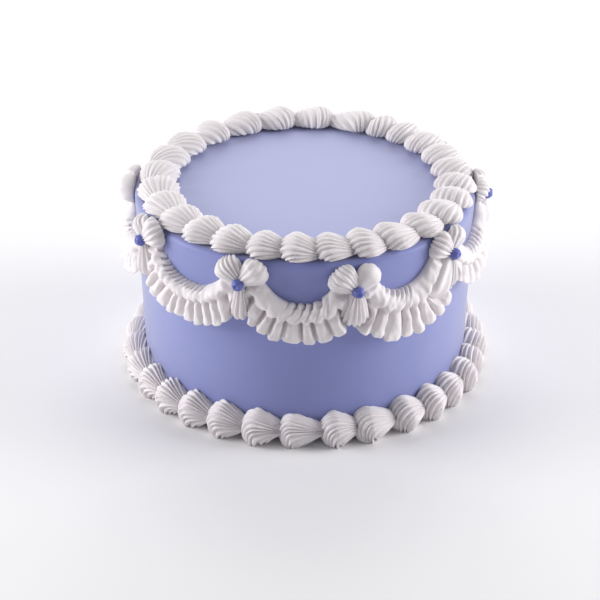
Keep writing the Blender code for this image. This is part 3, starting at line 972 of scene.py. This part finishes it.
def lay_floor(settings):
    """The plain floor."""
    data = bmesh.new()
    bmesh.ops.create_grid(data, x_segments=2, y_segments=2, size=FLOOR_HALF)
    mesh = bpy.data.meshes.new("floor")
    data.to_mesh(mesh)
    data.free()
    paper = bpy.data.materials.new("floor_paper")
    paper.use_nodes = True
    shader = paper.node_tree.nodes["Principled BSDF"]
    shader.inputs["Base Color"].default_value = (*settings.floor_colour, 1.0)
    shader.inputs["Roughness"].default_value = FLOOR_ROUGHNESS
    mesh.materials.append(paper)
    floor = bpy.data.objects.new("floor", mesh)
    bpy.context.scene.collection.objects.link(floor)


def hang_lights(settings):
    """Soft round lights at both sides, behind and above, in an evenly lit room."""
    scene = bpy.context.scene
    for name, place, size, power in LIGHTS:
        lamp = bpy.data.lights.new(name, "AREA")
        lamp.shape = "DISK"
        lamp.size = size
        lamp.energy = getattr(settings, power)
        item = bpy.data.objects.new(name, lamp)
        item.location = place
        aim = Vector(LIGHT_AIM) - Vector(place)
        item.rotation_euler = aim.to_track_quat("-Z", "Y").to_euler()
        scene.collection.objects.link(item)
    world = bpy.data.worlds.new("soft_room")
    world.use_nodes = True
    room = world.node_tree.nodes["Background"]
    room.inputs["Color"].default_value = (*ROOM_COLOUR, 1.0)
    room.inputs["Strength"].default_value = ROOM_LIGHT
    scene.world = world


def set_camera(settings):
    """The camera, looking down on the cake from the front, with no colour grading."""
    scene = bpy.context.scene
    lens = bpy.data.cameras.new("camera")
    lens.sensor_width = SENSOR_WIDTH
    lens.lens = LENS
    lens.shift_x, lens.shift_y = LENS_SHIFT
    camera = bpy.data.objects.new("camera", lens)
    pitch, distance = settings.camera_height, settings.camera_distance
    camera.location = (0.0, -distance * math.cos(pitch), CAMERA_AIM_HEIGHT + distance * math.sin(pitch))
    camera.rotation_euler = (math.pi / 2.0 - pitch, 0.0, 0.0)
    scene.collection.objects.link(camera)
    scene.camera = camera
    scene.view_settings.view_transform = "Standard"


class CakeSettings(bpy.types.PropertyGroup):
    """Sizes and colour of the smooth iced body."""

    icing_colour: FloatVectorProperty(
        name="Icing Colour", description="Colour of the smooth icing", subtype="COLOR", size=3,
        min=0.0, max=1.0, default=(0.205, 0.232, 0.535))
    rim_round: FloatProperty(
        name="Rim Rounding", description="Radius of the soft edge at the top", default=0.0026,
        min=0.0005, max=0.006, unit="LENGTH")
    unevenness: FloatProperty(
        name="Unevenness", description="How far the smoothed icing dips", default=0.0004,
        min=0.0, max=0.002, unit="LENGTH")


class BorderSettings(bpy.types.PropertyGroup):
    """Ribs and colour of the two shell borders."""

    top_ribs: IntProperty(
        name="Top Ribs", description="Ribs over each shell on the top edge", default=14, min=5, max=20)
    foot_ribs: IntProperty(
        name="Foot Ribs", description="Ribs over each shell round the foot", default=14, min=5, max=20)
    rib_depth: FloatProperty(
        name="Rib Depth", description="Depth of the grooves as a share of the shell", default=0.15,
        min=0.0, max=0.3, subtype="FACTOR")
    piping_colour: FloatVectorProperty(
        name="Piping Colour", description="Colour of the piped icing", subtype="COLOR", size=3,
        min=0.0, max=1.0, default=(0.815, 0.768, 0.785))


class GarlandSettings(bpy.types.PropertyGroup):
    """Sizes of the ruffled garlands."""

    band_width: FloatProperty(
        name="Band Width", description="Height of the band above the crease", default=0.0072,
        min=0.003, max=0.02, unit="LENGTH")
    flounce_width: FloatProperty(
        name="Flounce Width", description="Height of the pleated part below the crease",
        default=0.0108, min=0.003, max=0.02, unit="LENGTH")
    garland_depth: FloatProperty(
        name="Garland Depth", description="How far the garland stands out from the wall",
        default=0.0086, min=0.003, max=0.015, unit="LENGTH")
    pleat_width: FloatProperty(
        name="Pleat Width", description="Width of one pleat of the flounce", default=0.0052,
        min=0.002, max=0.01, unit="LENGTH")
    pleat_depth: FloatProperty(
        name="Pleat Depth", description="Depth of the grooves between pleats", default=0.0034,
        min=0.0, max=0.006, unit="LENGTH")


class FlowerSettings(bpy.types.PropertyGroup):
    """Sizes of the piped flowers, and size and colour of their beads."""

    upper_reach: FloatProperty(
        name="Upper Petal Length", description="From the bead's middle to the tip of an upper petal",
        default=0.0131, min=0.006, max=0.02, unit="LENGTH")
    upper_width: FloatProperty(
        name="Upper Petal Width", description="Width across an upper petal", default=0.0130,
        min=0.005, max=0.02, unit="LENGTH")
    lower_reach: FloatProperty(
        name="Lower Petal Length", description="From the bead's middle to the tip of the lower petal",
        default=0.0196, min=0.008, max=0.03, unit="LENGTH")
    lower_width: FloatProperty(
        name="Lower Petal Width", description="Width across the lower petal", default=0.0120,
        min=0.004, max=0.02, unit="LENGTH")
    bead_width: FloatProperty(
        name="Bead Width", description="Width of the bead of icing", default=0.0052, min=0.002,
        max=0.01, unit="LENGTH")
    bead_colour: FloatVectorProperty(
        name="Bead Colour", description="Colour of the beads", subtype="COLOR", size=3, min=0.0,
        max=1.0, default=(0.125, 0.150, 0.46))


class StageSettings(bpy.types.PropertyGroup):
    """Floor, light and camera."""

    floor_colour: FloatVectorProperty(
        name="Floor Colour", description="Colour of the plain floor", subtype="COLOR", size=3,
        min=0.0, max=1.0, default=(0.90, 0.89, 0.90))
    side_light: FloatProperty(
        name="Side Light", description="Power of each light at the sides", default=10.2, min=0.0,
        max=100.0, unit="POWER")
    back_light: FloatProperty(
        name="Back Light", description="Power of the light behind", default=10.0, min=0.0, max=100.0,
        unit="POWER")
    top_light: FloatProperty(
        name="Top Light", description="Power of the light above", default=1.5, min=0.0,
        max=100.0, unit="POWER")
    camera_height: FloatProperty(
        name="Camera Angle", description="Angle of the camera above the table",
        default=math.radians(28.34), min=0.0, max=1.5, subtype="ANGLE")
    camera_distance: FloatProperty(
        name="Camera Distance", description="Distance from the middle of the cake",
        default=0.8982, min=0.3, max=3.0, unit="LENGTH")


class CAKE_OT_iced_body(bpy.types.Operator):
    """Models the smooth iced cake"""

    bl_idname = "cake.iced_body"
    bl_label = "Iced Body"

    def execute(self, context):
        settings = context.scene.iced_cake
        add_piece("iced_cake", iced_cake(settings), wall_icing(settings.icing_colour), "lilac_icing", "cake")
        return {"FINISHED"}


class CAKE_OT_borders(bpy.types.Operator):
    """Pipes the shell borders on the top edge and round the foot"""

    bl_idname = "cake.borders"
    bl_label = "Shell Borders"

    def execute(self, context):
        settings = context.scene.shell_borders
        white = white_icing(context)
        add_piece("top_shells", top_shells(settings), white, "white_icing", "top_border")
        add_piece("foot_shells", foot_shells(settings), white, "white_icing", "foot_border")
        return {"FINISHED"}


class CAKE_OT_garlands(bpy.types.Operator):
    """Pipes the ruffled garlands round the wall"""

    bl_idname = "cake.garlands"
    bl_label = "Garlands"

    def execute(self, context):
        white = white_icing(context)
        for index in range(len(FLOWERS)):
            node = "garland_%d" % (index + 1)
            data = garland(context.scene.garlands, context.scene.flowers, index)
            add_piece("ruffled_" + node, data, white, "white_icing", node)
        return {"FINISHED"}


class CAKE_OT_flowers(bpy.types.Operator):
    """Pipes the flowers and their beads"""

    bl_idname = "cake.flowers"
    bl_label = "Flowers"

    def execute(self, context):
        settings = context.scene.flowers
        white = white_icing(context)
        blue = piped_icing(BLUE_ICING, settings.bead_colour, BEAD_ROUGHNESS)
        for index in range(len(FLOWERS)):
            number = index + 1
            node = "flower_%d" % number
            add_piece("petals_%d" % number, petals(settings, index), white, "white_icing", node)
            add_piece("bead_%d" % number, bead(settings, index), blue, "bead_icing", node)
        return {"FINISHED"}


class CAKE_OT_stage(bpy.types.Operator):
    """Sets out the floor, the lights and the camera"""

    bl_idname = "cake.stage"
    bl_label = "Stage"

    def execute(self, context):
        settings = context.scene.stage
        lay_floor(settings)
        hang_lights(settings)
        set_camera(settings)
        return {"FINISHED"}


# Each group of settings with the operator that reads it
GROUPS = (("iced_cake", CakeSettings, CAKE_OT_iced_body),
          ("shell_borders", BorderSettings, CAKE_OT_borders),
          ("garlands", GarlandSettings, CAKE_OT_garlands),
          ("flowers", FlowerSettings, CAKE_OT_flowers),
          ("stage", StageSettings, CAKE_OT_stage))


class CAKE_PT_cake(bpy.types.Panel):
    """Lists the cake's pieces and sizes"""

    bl_idname = "CAKE_PT_cake"
    bl_label = "Piped Garland Cake"
    bl_space_type = "VIEW_3D"
    bl_region_type = "UI"
    bl_category = "Cake"

    def draw(self, context):
        for name, settings, operator in GROUPS:
            box = self.layout.box()
            for size in settings.__annotations__:
                box.prop(getattr(context.scene, name), size)
            box.operator(operator.bl_idname)


def register():
    for name, settings, operator in GROUPS:
        bpy.utils.register_class(settings)
        bpy.utils.register_class(operator)
        setattr(bpy.types.Scene, name, PointerProperty(type=settings))
    bpy.utils.register_class(CAKE_PT_cake)


def unregister():
    bpy.utils.unregister_class(CAKE_PT_cake)
    for name, settings, operator in reversed(GROUPS):
        delattr(bpy.types.Scene, name)
        bpy.utils.unregister_class(operator)
        bpy.utils.unregister_class(settings)


def main():
    register()
    bpy.ops.cake.iced_body()
    bpy.ops.cake.borders()
    bpy.ops.cake.garlands()
    bpy.ops.cake.flowers()
    bpy.ops.cake.stage()


if __name__ == "__main__":
    main()
